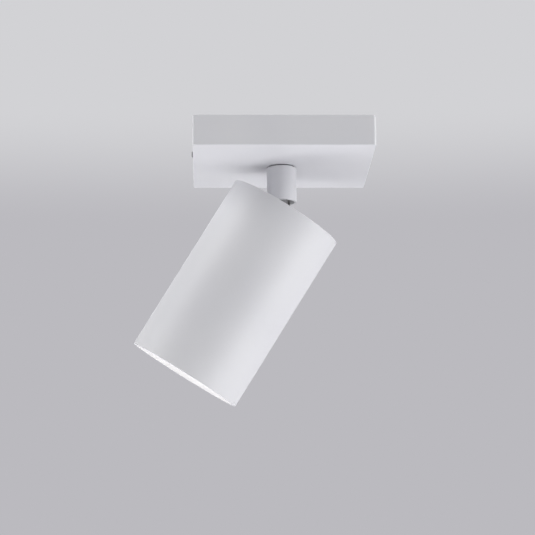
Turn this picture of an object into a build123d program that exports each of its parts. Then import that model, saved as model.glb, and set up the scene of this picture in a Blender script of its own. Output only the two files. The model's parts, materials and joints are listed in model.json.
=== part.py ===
from build123d import *
import math
import os

# Surface mounted ceiling spotlight: a square canopy, a short round stem and a
# cylinder head that pans on the stem and tilts on a two-ear yoke.
#
# Millimetres, +Z up. The origin is the centre of the canopy's ceiling face, so
# the whole lamp hangs below z = 0. Three frames are used:
#   row frame    the canopy and everything fixed to the ceiling
#   stem frame   the row frame turned about Z by PAN_AT_REST
#   head frame   origin on the tilt axis, -Z towards the lamp's mouth, +Y along
#                the tilt axis; it is the stem frame turned by TILT_AT_REST

# ---------------------------------------------------------------- attitude, degrees
PAN_AT_REST = -8.44  # head turned about the stem, from square with the canopy
TILT_AT_REST = 32.4  # head axis away from straight down
TILT_MAX = 50.0  # largest tilt, towards the long end of the swivel slot
TILT_BACK = 20.0  # tilt past straight down, towards the short end of the slot
PAN_LIMIT = 170.0  # pan each way from square, set by the stop washer

# ---------------------------------------------------------------- general fits
SEAT_GAP = 0.3  # air between curved faces on pieces that move apart
PIN_GAP = 0.06  # radial running clearance of a hinge pin
SLIP_GAP = 0.2  # radial clearance of a screw in a plain hole

# ---------------------------------------------------------------- canopy
CANOPY_SIDE = 90.0
CANOPY_HEIGHT = 15.2
CANOPY_WALL = 1.5
CANOPY_CORNER_R = 1.2
CANOPY_EDGE_R = 0.5

# ---------------------------------------------------------------- ceiling bracket
BRACKET_THICK = 1.5
BRACKET_WIDTH = 22.0
BRACKET_END_GAP = 0.2  # tab to canopy wall
BRACKET_BEND_R = 1.2
TAB_WIDTH = 18.0
TAB_FLOOR_GAP = 1.5  # tab's lower edge to the canopy floor
CEILING_SLOT_SPACING = 54.0
CEILING_SLOT_LENGTH = 14.0
CEILING_SLOT_WIDTH = 4.5
WING_WIDTH = 32.0
WING_MARGIN = 3.0  # wing beyond the terminal block

# Side screws: socket set screws that stand a little proud of the canopy.
SIDE_SCREW_R = 1.5
SIDE_SCREW_LENGTH = 6.0
SIDE_SCREW_DROP = 8.5  # below the ceiling
SIDE_SCREW_PROUD = 0.6
SOCKET_FLATS = 1.5
SOCKET_DEPTH = 1.6
SIDE_SCREW_EDGE = 0.2

# Screw heads.
RECESS_SHARE = 0.6  # cross recess, as a share of the head's radius and depth
RECESS_WIDTH = 0.6
PAN_SLOT_SHARE = 0.5  # slot depth, as a share of the head's height
PAN_SLOT_WIDTH = 0.8
PAN_EDGE_SHARE = 0.4  # rounding of the head, as a share of its height

# ---------------------------------------------------------------- terminal block
POLES = 3
POLE_PITCH = 8.0
BLOCK_DEPTH = 16.0
BLOCK_HEIGHT = 10.0
BLOCK_END_WALL = 0.6
BLOCK_EDGE_R = 0.6
BLOCK_Y = 25.0  # block's centre, behind the stem
CLAMP_R = 2.4
CLAMP_BORE_R = 1.75
CLAMP_LENGTH = 14.0
CLAMP_SCREW_R = 1.3
CLAMP_SCREW_HEAD_R = 1.7
CLAMP_SCREW_HEAD = 1.0
CLAMP_SCREW_SLOT = 0.5  # width and depth of the driver slot
CLAMP_SCREW_SPACING = 8.6
CLAMP_SCREW_SUNK = 1.0  # screw head below the block's face
BLOCK_SCREW_R = 1.4
BLOCK_SCREW_HEAD_R = 2.4
BLOCK_SCREW_HEAD = 1.8

# ---------------------------------------------------------------- earth screws
EARTH_X = 14.0
EARTH_Y = -5.0
EARTH_SCREW_R = 2.0
EARTH_HEAD_R = 3.6
EARTH_HEAD = 2.2
TAG_THICK = 0.8
TAG_RIM = 1.6  # width of the ring round its screw
TAG_NECK = 0.6  # screw head to barrel
TAG_OVERLAP = 0.5  # neck run into the ring and under the barrel
TAG_BARREL_R = 1.4
TAG_BARREL_LENGTH = 3.5

# ---------------------------------------------------------------- stem and nipple
GAP_WASHER_THICK = 0.5
GAP_WASHER_R = 6.5
STEM_R = 7.5
STEM_LENGTH = 17.9
STEM_WALL = 1.0
STEM_EDGE = 0.4
NIPPLE_R = 5.0
NIPPLE_BORE_R = 3.25
NIPPLE_ENGAGED = 6.0
NIPPLE_PROUD = 0.5
PAN_WASHER_R = 8.0
PAN_WASHER_THICK = 0.8
STOP_WASHER_THICK = 0.8
STOP_INNER_R = 10.0
STOP_OUTER_R = 12.0
STOP_SLACK = 1.0  # degrees left between lug and peg at the pan limit
STOP_ARM_ROOT = 0.5  # arm run into the washer
NUT_FLATS = 14.0
NUT_THICK = 3.0

# ---------------------------------------------------------------- tilt joint
PIVOT_DROP = 8.4  # stem's lower face to the tilt axis
FORK_PLUG_LENGTH = 6.0
PRONG_HALF_WIDTH = 3.6
TILT_EAR_R = 4.2
TILT_EAR_THICK = 1.6
TILT_EAR_INNER = 2.5  # ear's inner face from the stem axis
FRICTION_THICK = 0.4
FRICTION_R = 3.6
TILT_SCREW_R = 2.0
TILT_HEAD_R = 3.2
TILT_HEAD = 1.4
TILT_SOCKET_FLATS = 2.5
TILT_SOCKET_FLOOR = 0.4  # head left under the socket
TILT_SPRING_THICK = 0.3
SWIVEL_GAP = 0.9  # stem to the sides of the swivel slot
LEG_STEP = 0.2  # yoke leg set back from the slot's side
RIVET_X = 2.3
RIVET_R = 1.0
RIVET_HEAD_R = 1.6
RIVET_HEAD = 0.9
RIVET_EDGE = 0.35

# ---------------------------------------------------------------- leads
CORE_R = 0.85
CORE_OFFSET = 1.0  # core centres from the stem axis
SLEEVE_R = 2.15
SLEEVE_BORE_R = 1.9
SLEEVE_BELOW_NIPPLE = 2.0  # sleeve's top below the nipple's top
SLEEVE_TAIL = 6.0  # sleeve past the tilt axis
BEND_R = 16.0  # lead bend at the tilt axis
ARC_SHARE = 0.45  # largest arc at a corner, as a share of the shorter run

# Cores in the canopy: up out of the sleeve, over a crest and down into the clamps.
# The middle core crosses above the other two.
LOW_RISE = 4.2  # corner above the sleeve's top
LOW_CREST = 5.6
HIGH_RISE = 5.6
HIGH_CREST = 7.6
CREST_RUN = 2.6  # first step of the crest
CREST_FALL = 0.4
CREST_END = 0.6  # crest's far end, as a share of the way to the terminal block
FAN_START = 0.12  # share of a pole's offset reached at the crest's near end
FAN_END = 0.72  # and at its far end
CLAMP_RUN_IN = 2.6  # straight run in front of the terminal block
PAST_SCREW = 1.0  # core's end past its clamp screw
BOND_STRAIGHT = 2.4  # bond lead's straight run out of its tag
BOND_RUN_IN = 3.2

# Earth core in the head: out between the ears and round into the yoke's tag.
EARTH_STEP_X = 0.5
EARTH_STEP_Y = 0.15
EARTH_LIFT = 3.2  # corner above the strap
EARTH_RUN_IN = 1.9

# ---------------------------------------------------------------- head
HEAD_R = 30.0
HEAD_LENGTH = 97.0
HEAD_WALL = 1.9
HEAD_EDGE = 0.25
REAR_RISE = 3.8  # rear rim above the tilt axis
CAP_THICK = 2.0
CAP_SEAT = 0.5  # step that the rear cap rests on
YOKE_THICK = 2.0
YOKE_DEPTH = 12.0  # tilt axis to the strap's upper face
YOKE_LEG_WIDTH = 13.0
YOKE_STRAP_WIDTH = 30.0
YOKE_FLANGE = 12.0
YOKE_CORNER_R = 2.0
YOKE_LEAD_R = 3.0
YOKE_EARTH_X = 11.7
YOKE_EARTH_Y = 4.6
YOKE_SCREW_R = 1.5
YOKE_SCREW_HEAD_R = 2.75
YOKE_SCREW_SINK = 1.3
YOKE_SCREW_LENGTH = 6.0

# ---------------------------------------------------------------- lampholder
HOLDER_R = 15.0
HOLDER_BASE = 11.5
HOLDER_EDGE = 1.0
FACEPLATE = 2.5
POCKET_R = 8.4
POCKET_DEPTH = 5.0
CONTACT_THICK = 0.4
CONTACT_WIDTH = 2.4
CONTACT_POST_R = 0.5
CONTACT_INNER = 0.35  # leaf's inner end from the middle
CONTACT_OUTER = 7.0
WELL_R = 2.6
WELL_DEPTH = 4.0
HOLDER_SCREW_X = 10.8
HOLDER_SCREW_R = 1.5
HOLDER_SCREW_HEAD_R = 2.75
HOLDER_SCREW_SINK = 1.3

# ---------------------------------------------------------------- lamp
LAMP_LENGTH = 47.0  # housing without its pins
LAMP_RIM_R = 25.0
LAMP_RIM_HEIGHT = 7.5
LAMP_NECK_R = 12.5
LAMP_NECK_LENGTH = 14.0
LAMP_WALL = 1.4
PIN_CIRCLE_R = 5.0
PIN_NECK_R = 1.5
PIN_HEAD_R = 2.5
PIN_TIP_GAP = 0.25  # pin to contact leaf
TWIST_LOCK = 40.0  # degrees from locked to free
LENS_THICK = 2.0
BOARD_THICK = 1.6
BOARD_R = 19.0
BOARD_SETBACK = 13.0  # board's front face behind the lamp's front
CHIP_R = 6.0
CHIP_THICK = 0.8
REFLECTOR_WALL = 1.0
DRIVER_WIDTH = 17.0
DRIVER_THICK = 1.2
COIL_HEIGHT = 5.0
COIL_SIDE = 8.0
COIL_Y = -1.0
COIL_DROP = 4.0  # below the neck's inner end
CAPACITOR_R = 3.0
CAPACITOR_LENGTH = 9.0
CAPACITOR_Y = 2.0
CAPACITOR_DROP = 4.5
CAPACITOR_SUNK = 0.2  # into the board's face

# Directions of the lamp's flare at its two ends, outwards and forwards.
FLARE_AT_NECK = (0.35, -1)
FLARE_AT_RIM = (0.25, -1)

# ---------------------------------------------------------------- anti-glare ring
GLARE_BORE_R = 22.5
GLARE_WALL = 1.2
GLARE_HEIGHT = 8.0
GLARE_SLOPE = 4.5
GLARE_EDGE = 0.5

# ---------------------------------------------------------------- derived heights
canopy_under = -CANOPY_HEIGHT
canopy_floor = canopy_under + CANOPY_WALL
stem_top = canopy_under - GAP_WASHER_THICK
stem_bottom = stem_top - STEM_LENGTH
pivot_z = stem_bottom - PIVOT_DROP
pan_washer_top = canopy_floor + PAN_WASHER_THICK
stop_washer_top = pan_washer_top + STOP_WASHER_THICK
nipple_top = stop_washer_top + NUT_THICK + NIPPLE_PROUD
sleeve_top = nipple_top - SLEEVE_BELOW_NIPPLE
block_top = -BRACKET_THICK
block_bottom = block_top - BLOCK_HEIGHT
clamp_z = block_top - BLOCK_HEIGHT / 2

head_rear = REAR_RISE
head_front = head_rear - HEAD_LENGTH
cap_under = head_rear - CAP_THICK
strap_top = -YOKE_DEPTH
strap_under = strap_top - YOKE_THICK
faceplate_rear = strap_under - HOLDER_BASE
holder_front = faceplate_rear - FACEPLATE
pocket_rear = faceplate_rear + POCKET_DEPTH
lamp_rear = holder_front - SEAT_GAP
lamp_front = lamp_rear - LAMP_LENGTH
pin_tip = pocket_rear - CONTACT_THICK - PIN_TIP_GAP

# ---------------------------------------------------------------- derived widths
canopy_half = CANOPY_SIDE / 2
canopy_inner_half = canopy_half - CANOPY_WALL
bracket_half = canopy_inner_half - BRACKET_END_GAP
plug_r = STEM_R - STEM_WALL
head_bore_r = HEAD_R - HEAD_WALL
cap_r = head_bore_r + CAP_SEAT
slot_r = STEM_R + SWIVEL_GAP
leg_inner = slot_r + LEG_STEP
leg_outer = leg_inner + YOKE_THICK
ear_outer = TILT_EAR_INNER + TILT_EAR_THICK
prong_inner = ear_outer + FRICTION_THICK
foot_top = strap_top + TILT_EAR_THICK
foot_end = leg_inner - SLIP_GAP
board_face = lamp_front + BOARD_SETBACK
lug_half_width = STOP_INNER_R * math.sin(math.radians((180 - PAN_LIMIT - STOP_SLACK) / 2))
core_end_y = BLOCK_Y - CLAMP_SCREW_SPACING / 2 + CLAMP_SCREW_R + PAST_SCREW
block_front_y = BLOCK_Y - BLOCK_DEPTH / 2
block_back_y = BLOCK_Y + BLOCK_DEPTH / 2


# ---------------------------------------------------------------- frames and basic solids
stem_frame = Rot(0, 0, PAN_AT_REST)
head_frame = stem_frame * Pos(0, 0, pivot_z) * Rot(0, TILT_AT_REST, 0)


def rod(radius, bottom, top, x=0.0, y=0.0):
    """Upright cylinder between two heights."""
    return extrude(Pos(x, y, bottom) * Circle(radius), top - bottom)


def ring(outer_r, inner_r, bottom, top):
    """Washer or tube about Z between two heights."""
    return rod(outer_r, bottom, top) - rod(inner_r, bottom, top)


def rod_x(radius, x0, x1, y=0.0, z=0.0):
    """Cylinder along X from x0 to x1."""
    return Pos(x0, y, z) * Rot(0, 90, 0) * rod(radius, 0, x1 - x0)


def rod_y(radius, y0, y1, x=0.0, z=0.0):
    """Cylinder along Y from y0 to y1."""
    return Pos(x, y0, z) * Rot(-90, 0, 0) * rod(radius, 0, y1 - y0)


def block(x0, x1, y0, y1, z0, z1):
    """Box between two corners."""
    return Pos((x0 + x1) / 2, (y0 + y1) / 2, (z0 + z1) / 2) * Box(x1 - x0, y1 - y0, z1 - z0)


def hex_rod(flats, bottom, top):
    """Upright hexagonal prism."""
    return extrude(Pos(0, 0, bottom) * RegularPolygon(flats / 2, 6, major_radius=False), top - bottom)


def both_sides(shape):
    """A piece and its mirror image across the XZ plane."""
    return shape + mirror(shape, Plane.XZ)


def sunk_screw(shank_r, head_r, sink, length):
    """Countersunk screw pointing down, its head's face at z = 0, with a cross recess."""
    head = Pos(0, 0, -sink / 2) * Cone(shank_r, head_r, sink)
    reach = head_r * RECESS_SHARE
    recess = block(-reach, reach, -RECESS_WIDTH / 2, RECESS_WIDTH / 2, -sink * RECESS_SHARE, 0)
    return head + rod(shank_r, -length, -sink) - recess - Rot(0, 0, 90) * recess


def pan_head_screw(shank_r, head_r, head, length):
    """Pan head screw pointing up, its seat at z = 0, with a slot in the head below."""
    slot_top = head * PAN_SLOT_SHARE - head
    slot = block(-head_r, head_r, -PAN_SLOT_WIDTH / 2, PAN_SLOT_WIDTH / 2, -head, slot_top)
    face = rod(head_r, -head, 0).faces().sort_by(Axis.Z)[0]
    return fillet(face.edges(), head * PAN_EDGE_SHARE) - slot + rod(shank_r, 0, length)


def sweep_radii(points):
    """Largest tidy arc at each corner of a route."""
    radii = []
    for before, here, after in zip(points, points[1:], points[2:]):
        run_in, run_out = here - before, after - here
        turn = math.radians(run_in.get_angle(run_out))
        radii.append(ARC_SHARE * min(run_in.length, run_out.length) / math.tan(turn / 2))
    return radii


def routed_wire(points, radii):
    """Centre line of straight runs joined by tangent arcs."""
    return FilletPolyline(*points, radius=radii)


def routed_rod(points, radii, radius):
    """Round section swept along a route."""
    path = routed_wire(points, radii)
    section = Plane(origin=path @ 0, z_dir=path % 0) * Circle(radius)
    return sweep(section, path=path)


def place(location, points):
    """Points of another frame, in the row frame."""
    return [(location * Pos(*point)).position for point in points]


# ---------------------------------------------------------------- canopy and ceiling bracket
def canopy_cover():
    """Square cover, open towards the ceiling, with the nipple hole and the pan stop peg."""
    shell = extrude(
        Pos(0, 0, canopy_under) * RectangleRounded(CANOPY_SIDE, CANOPY_SIDE, CANOPY_CORNER_R),
        CANOPY_HEIGHT,
    )
    shell = fillet(shell.faces().sort_by(Axis.Z)[0].edges(), CANOPY_EDGE_R)
    hollow = block(*[-canopy_inner_half, canopy_inner_half] * 2, canopy_floor, 0)
    side_holes = rod_x(SIDE_SCREW_R + SLIP_GAP, -canopy_half, canopy_half, 0, -SIDE_SCREW_DROP)
    nipple_hole = rod(NIPPLE_R + PIN_GAP, canopy_under, canopy_floor)
    peg = Rot(0, 0, -90) * stop_lug(canopy_floor, stop_washer_top)
    return shell - hollow - side_holes - nipple_hole + peg


def stop_lug(bottom, top):
    """Radial lug that, with its opposite number, ends the pan at PAN_LIMIT."""
    return block(STOP_INNER_R, STOP_OUTER_R, -lug_half_width, lug_half_width, bottom, top)


def ceiling_bracket():
    """Strap with ceiling slots, end tabs for the side screws and a wing for the terminals."""
    tab_bottom = canopy_floor + TAB_FLOOR_GAP
    half_width = BRACKET_WIDTH / 2
    wing_end = block_back_y + WING_MARGIN
    plate = block(-bracket_half, bracket_half, -half_width, half_width, -BRACKET_THICK, 0)
    plate += block(-WING_WIDTH / 2, WING_WIDTH / 2, half_width, wing_end, -BRACKET_THICK, 0)
    for side in (-1, 1):
        inner, outer = sorted((side * bracket_half, side * (bracket_half - BRACKET_THICK)))
        plate += block(inner, outer, -TAB_WIDTH / 2, TAB_WIDTH / 2, tab_bottom, -BRACKET_THICK)
    bends = plate.edges().filter_by(Axis.Y).group_by(Axis.Z)[-1]
    bends = bends.filter_by(lambda edge: abs(edge.center().X) > bracket_half - BRACKET_THICK / 2)
    plate = fillet(bends, BRACKET_BEND_R)
    slot = extrude(
        Pos(0, 0, -BRACKET_THICK) * SlotOverall(CEILING_SLOT_LENGTH, CEILING_SLOT_WIDTH),
        BRACKET_THICK,
    )
    for side in (-1, 1):
        plate -= Pos(side * CEILING_SLOT_SPACING / 2, 0, 0) * slot
    plate -= rod_x(SIDE_SCREW_R, -canopy_half, canopy_half, 0, -SIDE_SCREW_DROP)
    plate -= rod(BLOCK_SCREW_R, -BRACKET_THICK, 0, POLE_PITCH / 2, BLOCK_Y)
    plate -= rod(EARTH_SCREW_R, -BRACKET_THICK, 0, EARTH_X, EARTH_Y)
    return plate


def cover_set_screws():
    """Socket set screws threaded into the tabs, standing proud of both side walls."""
    tip = canopy_half + SIDE_SCREW_PROUD
    screw = rod(SIDE_SCREW_R, -SIDE_SCREW_LENGTH, 0)
    screw = chamfer(screw.faces().sort_by(Axis.Z)[-1].edges(), SIDE_SCREW_EDGE)
    screw -= hex_rod(SOCKET_FLATS, -SOCKET_DEPTH, 0)
    right = Pos(tip, 0, -SIDE_SCREW_DROP) * Rot(0, 90, 0) * screw
    return right + mirror(right, Plane.YZ)


# ---------------------------------------------------------------- terminal block
def pole_x(pole):
    """Centre of one pole of the terminal block."""
    return (pole - (POLES - 1) / 2) * POLE_PITCH


def terminal_block():
    """Screw terminal body under the bracket's wing, one clamp channel for each pole."""
    half_length = POLES * POLE_PITCH / 2 + BLOCK_END_WALL
    body = block(-half_length, half_length, block_front_y, block_back_y, block_bottom, block_top)
    body = fillet(body.faces().sort_by(Axis.Z)[0].edges(), BLOCK_EDGE_R)
    for pole in range(POLES):
        x = pole_x(pole)
        body -= rod_y(CLAMP_R, BLOCK_Y - CLAMP_LENGTH / 2, BLOCK_Y + CLAMP_LENGTH / 2, x, clamp_z)
        body -= rod_y(CLAMP_BORE_R, block_front_y, block_back_y, x, clamp_z)
        for y in clamp_screw_places():
            body -= rod(CLAMP_SCREW_HEAD_R + SLIP_GAP, block_bottom, clamp_z, x, y)
    body -= rod(BLOCK_SCREW_R + SLIP_GAP, block_bottom, block_top, POLE_PITCH / 2, BLOCK_Y)
    return body


def clamp_screw_places():
    """Distances behind the stem of the two screws of each clamp."""
    return BLOCK_Y - CLAMP_SCREW_SPACING / 2, BLOCK_Y + CLAMP_SCREW_SPACING / 2


def terminal_clamps():
    """Brass tubes in the block, each tapped twice from below."""
    clamps = Part()
    for pole in range(POLES):
        x = pole_x(pole)
        ends = (BLOCK_Y - CLAMP_LENGTH / 2, BLOCK_Y + CLAMP_LENGTH / 2)
        clamp = rod_y(CLAMP_R, *ends, x, clamp_z) - rod_y(CLAMP_BORE_R, *ends, x, clamp_z)
        for y in clamp_screw_places():
            clamp -= rod(CLAMP_SCREW_R, clamp_z - CLAMP_R, clamp_z, x, y)
        clamps += clamp
    return clamps


def terminal_screws():
    """Clamp screws; the front row holds down the lamp's own leads."""
    screws = Part()
    seat = block_bottom + CLAMP_SCREW_SUNK
    for pole in range(POLES):
        for y in clamp_screw_places():
            screw = rod(CLAMP_SCREW_R, seat, clamp_z - CORE_R)
            screw += rod(CLAMP_SCREW_HEAD_R, seat, seat + CLAMP_SCREW_HEAD)
            screw -= block(
                -CLAMP_SCREW_HEAD_R,
                CLAMP_SCREW_HEAD_R,
                -CLAMP_SCREW_SLOT / 2,
                CLAMP_SCREW_SLOT / 2,
                seat,
                seat + CLAMP_SCREW_SLOT,
            )
            screws += Pos(pole_x(pole), y, 0) * screw
    return screws


def terminal_block_screw():
    """Screw between two poles that holds the block to the wing."""
    screw = pan_head_screw(
        BLOCK_SCREW_R, BLOCK_SCREW_HEAD_R, BLOCK_SCREW_HEAD, BLOCK_HEIGHT + BRACKET_THICK
    )
    return Pos(POLE_PITCH / 2, BLOCK_Y, block_bottom) * screw


# ---------------------------------------------------------------- earth tags
def ring_tag(hole_r, reach):
    """Crimped ring tag lying on z = 0, its barrel along +X, starting at reach."""
    outer_r = hole_r + TAG_RIM
    tag = ring(outer_r, hole_r, 0, TAG_THICK)
    near, far = outer_r - TAG_OVERLAP, reach + TAG_OVERLAP
    neck = block(near, far, -TAG_BARREL_R, TAG_BARREL_R, 0, TAG_THICK)
    barrel = rod_x(TAG_BARREL_R, reach, reach + TAG_BARREL_LENGTH, 0, TAG_BARREL_R)
    bore = rod_x(CORE_R, reach, reach + TAG_BARREL_LENGTH, 0, TAG_BARREL_R)
    return tag + neck + barrel - bore


def tag_reach(hole_r, head_r):
    """Where a tag's barrel starts, clear of the screw's head."""
    return max(hole_r + TAG_RIM, head_r) + TAG_NECK


def bracket_tag_place():
    """Frame of the bracket's earth tag: upside down under the plate, barrel towards the wing."""
    return Pos(EARTH_X, EARTH_Y, -BRACKET_THICK) * Rot(0, 0, 90) * Rot(180, 0, 0)


def bracket_earth_tag():
    return bracket_tag_place() * ring_tag(EARTH_SCREW_R, tag_reach(EARTH_SCREW_R, EARTH_HEAD_R))


def bracket_earth_screw():
    """Machine screw from below, short enough to end flush with the bracket's upper face."""
    screw = pan_head_screw(EARTH_SCREW_R, EARTH_HEAD_R, EARTH_HEAD, TAG_THICK + BRACKET_THICK)
    return Pos(EARTH_X, EARTH_Y, -BRACKET_THICK - TAG_THICK) * screw


# ---------------------------------------------------------------- stem and pan joint
def gap_washer():
    """Nylon washer, smaller than the stem, that shows as a dark line above it."""
    return ring(GAP_WASHER_R, NIPPLE_R, stem_top, canopy_under)


def stem_tube():
    """Turned stem: a tapped web for the nipple above and a bore for the fork's plug below."""
    body = rod(STEM_R, stem_bottom, stem_top)
    body = chamfer(body.edges().filter_by(GeomType.CIRCLE), STEM_EDGE)
    body -= rod(NIPPLE_R, stem_top - NIPPLE_ENGAGED, stem_top)
    return body - rod(plug_r, stem_bottom, stem_top - NIPPLE_ENGAGED)


def threaded_nipple():
    """Hollow nipple that clamps the stem to the canopy and carries the leads."""
    return ring(NIPPLE_R, NIPPLE_BORE_R, stem_top - NIPPLE_ENGAGED, nipple_top)


def pan_spring_washer():
    return ring(PAN_WASHER_R, NIPPLE_R, canopy_floor, pan_washer_top)


def pan_stop_washer():
    """Keyed washer whose lug meets the canopy's peg at each end of the pan."""
    washer = ring(PAN_WASHER_R, NIPPLE_R, pan_washer_top, stop_washer_top)
    arm_root = PAN_WASHER_R - STOP_ARM_ROOT
    arm = block(
        arm_root, STOP_INNER_R, -lug_half_width, lug_half_width, pan_washer_top, stop_washer_top
    )
    return Rot(0, 0, 90) * (washer + arm + stop_lug(pan_washer_top, stop_washer_top))


def nipple_nut():
    nut = hex_rod(NUT_FLATS, stop_washer_top, stop_washer_top + NUT_THICK)
    return nut - rod(NIPPLE_R, stop_washer_top, stop_washer_top + NUT_THICK)


# ---------------------------------------------------------------- tilt joint
def swivel_fork():
    """Plug fixed in the stem, with two prongs that straddle the ears."""
    plug_bottom = stem_bottom - pivot_z
    plug = ring(plug_r, SLEEVE_R + SLIP_GAP, plug_bottom, plug_bottom + FORK_PLUG_LENGTH)
    prong = rod_y(PRONG_HALF_WIDTH, prong_inner, plug_r)
    prong += block(-PRONG_HALF_WIDTH, PRONG_HALF_WIDTH, prong_inner, plug_r, 0, plug_bottom)
    prong -= rod_y(TILT_SCREW_R + PIN_GAP, prong_inner, plug_r)
    return plug + both_sides(prong)


def swivel_ears():
    """Two pressed angle ears, tapped on the tilt axis, their feet turned out on the strap."""
    ear = rod_y(TILT_EAR_R, TILT_EAR_INNER, ear_outer)
    ear += block(-TILT_EAR_R, TILT_EAR_R, TILT_EAR_INNER, ear_outer, strap_top, 0)
    ear += block(-TILT_EAR_R, TILT_EAR_R, TILT_EAR_INNER, foot_end, strap_top, foot_top)
    ear -= rod_y(TILT_SCREW_R, TILT_EAR_INNER, ear_outer)
    return both_sides(ear) - rivets_of(RIVET_R, strap_top, foot_top)


def rivets_of(radius, bottom, top):
    """The same upright cylinder at each of the four ear rivets."""
    rivet_y = (ear_outer + foot_end) / 2
    places = [(x, y) for x in (-RIVET_X, RIVET_X) for y in (-rivet_y, rivet_y)]
    return Part() + [rod(radius, bottom, top, x, y) for x, y in places]


def ear_rivets():
    """Rivets through the ears' feet, ending flush under the strap."""
    heads = rivets_of(RIVET_HEAD_R, foot_top, foot_top + RIVET_HEAD)
    heads = chamfer(heads.faces().group_by(Axis.Z)[-1].edges(), RIVET_EDGE)
    return heads + rivets_of(RIVET_R, strap_under, foot_top)


def tilt_screws():
    """Low-head screws through the prongs into the tapped ears; the tilt turns on them."""
    seat = plug_r + TILT_SPRING_THICK
    screw = rod_y(TILT_SCREW_R, TILT_EAR_INNER, seat) + rod_y(TILT_HEAD_R, seat, seat + TILT_HEAD)
    socket = hex_rod(TILT_SOCKET_FLATS, seat + TILT_SOCKET_FLOOR, seat + TILT_HEAD)
    return both_sides(screw - Rot(-90, 0, 0) * socket)


def tilt_spring_washers():
    return both_sides(tube_y(TILT_HEAD_R, TILT_SCREW_R, plug_r, plug_r + TILT_SPRING_THICK))


def tilt_friction_washers():
    return both_sides(tube_y(FRICTION_R, TILT_SCREW_R, ear_outer, prong_inner))


def tube_y(outer_r, inner_r, y0, y1):
    """Washer or tube along Y."""
    return rod_y(outer_r, y0, y1) - rod_y(inner_r, y0, y1)


# ---------------------------------------------------------------- leads
def core_offset(core):
    """Place of one core in the sleeve; core 0 is on the side away from the tilt."""
    angle = math.radians(120 * core)
    return CORE_OFFSET * math.cos(angle), CORE_OFFSET * math.sin(angle)


def joint_route(x, y, head_points):
    """Route from the nipple, through the tilt joint and on to points of the head frame."""
    corner = (x, y, pivot_z - x * math.tan(math.radians(TILT_AT_REST / 2)))
    route = place(stem_frame, [(x, y, sleeve_top), corner])
    return route + place(head_frame, head_points)


def joint_lead(x, y, head_points, radius):
    """A sleeve or core that bends about the tilt axis, concentric with its neighbours."""
    points = joint_route(x, y, head_points)
    radii = [BEND_R + x] + sweep_radii(points[1:])
    return routed_rod(points, radii, radius)


def lead_sleeve():
    """Woven sleeving round the three cores, from the nipple to below the tilt axis."""
    end = [(0, 0, -SLEEVE_TAIL)]
    return joint_lead(0, 0, end, SLEEVE_R) - joint_lead(0, 0, end, SLEEVE_BORE_R)


def power_lead(core):
    """Live or neutral core, straight down into the lampholder's well."""
    x, y = core_offset(core)
    return joint_lead(x, y, [(x, y, strap_under - WELL_DEPTH)], CORE_R)


def yoke_tag_place():
    """Frame of the yoke's earth tag: on the strap, barrel towards the stem axis."""
    heading = math.degrees(math.atan2(-YOKE_EARTH_Y, -YOKE_EARTH_X))
    return Pos(YOKE_EARTH_X, YOKE_EARTH_Y, strap_top) * Rot(0, 0, heading)


def earth_lead():
    """Earth core, which leaves the sleeve between the ears and turns into the yoke's tag."""
    x, y = core_offset(0)
    near = tag_reach(YOKE_SCREW_R, YOKE_SCREW_HEAD_R)
    far = near + TAG_BARREL_LENGTH
    run_in = [(far + EARTH_RUN_IN, 0, TAG_BARREL_R), (near, 0, TAG_BARREL_R)]
    tail = place(yoke_tag_place(), run_in)
    turn = (x + EARTH_STEP_X, y + EARTH_STEP_Y, strap_top + EARTH_LIFT)
    route = [(x, y, -SLEEVE_TAIL), turn]
    return joint_lead(x, y, route + [tuple(point) for point in tail], CORE_R)


def canopy_lead(core, pole, rise, crest, side=0.0):
    """Core from the sleeve's top to a terminal clamp, bent over in two steps."""
    x0, y0 = core_offset(core)
    start = place(stem_frame, [(x0, y0, sleeve_top), (x0, y0, sleeve_top + rise)])
    clamp_x = pole_x(pole) + side
    points = start + [
        Vector(start[1].X + clamp_x * FAN_START, start[1].Y + CREST_RUN, sleeve_top + crest),
        Vector(clamp_x * FAN_END, block_front_y * CREST_END, sleeve_top + crest - CREST_FALL),
        Vector(clamp_x, block_front_y - CLAMP_RUN_IN, clamp_z),
        Vector(clamp_x, core_end_y, clamp_z),
    ]
    return routed_rod(points, sweep_radii(points), CORE_R)


def bracket_bond_lead():
    """Short earth link from the earth pole to the bracket's tag."""
    barrel_y = EARTH_Y + tag_reach(EARTH_SCREW_R, EARTH_HEAD_R)
    barrel_z = -BRACKET_THICK - TAG_BARREL_R
    clamp_x = pole_x(POLES - 1) + CORE_R
    points = [
        Vector(EARTH_X, barrel_y, barrel_z),
        Vector(EARTH_X, barrel_y + TAG_BARREL_LENGTH + BOND_STRAIGHT, barrel_z),
        Vector(clamp_x, block_front_y - BOND_RUN_IN, clamp_z),
        Vector(clamp_x, core_end_y, clamp_z),
    ]
    return routed_rod(points, sweep_radii(points), CORE_R)


# ---------------------------------------------------------------- head
def head_tube():
    """Cylinder body with a stepped seat for the rear cap."""
    body = rod(HEAD_R, head_front, head_rear)
    body = fillet(body.edges().filter_by(GeomType.CIRCLE), HEAD_EDGE)
    body -= rod(head_bore_r, head_front, cap_under)
    return body - rod(cap_r, cap_under, head_rear)


def slot_reach():
    """How far the stem and the prongs lean across the rear cap's outer face."""
    lean, back = math.radians(TILT_MAX), math.radians(TILT_BACK)
    far = head_rear * math.tan(lean) + STEM_R / math.cos(lean)
    near = head_rear * math.tan(back) + PRONG_HALF_WIDTH / math.cos(back)
    return far, near


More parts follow.
